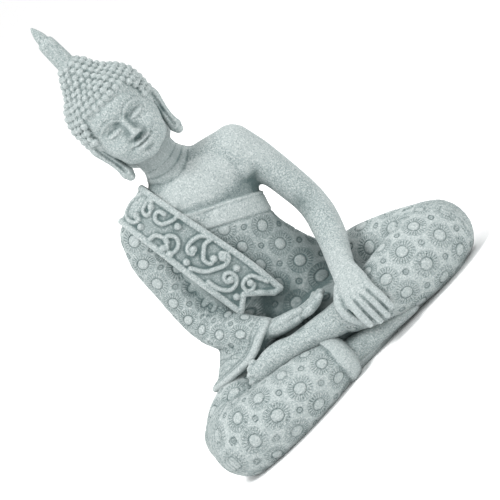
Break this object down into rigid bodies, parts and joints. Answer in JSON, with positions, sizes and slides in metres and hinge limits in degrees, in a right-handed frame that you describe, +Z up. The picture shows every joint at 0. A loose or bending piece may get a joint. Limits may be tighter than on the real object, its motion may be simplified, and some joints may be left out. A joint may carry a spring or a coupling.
{
  "type": "seated buddha figurine",
  "caption": "Small cast figurine of a seated, cross-legged buddha with a flame finial on curled hair, a patterned robe over one shoulder and a hanging sash, standing on its flat underside.",
  "frame": {"origin": "middle of the figurine's plan on the flat underside it stands on", "axes": "+Z up from the underside to the tip of the finial, +X to the side of the knee that the hand hangs over, -Y the way the figure faces"},
  "size_m": [0.1268, 0.0694, 0.1681],
  "materials": {
    "stone_composite": "matte speckled cast stone composite, grey-green, darker in the recesses"
  },
  "bodies": {
    "root": {"buddha_figurine": "stone_composite"}
  },
  "joints": []
}
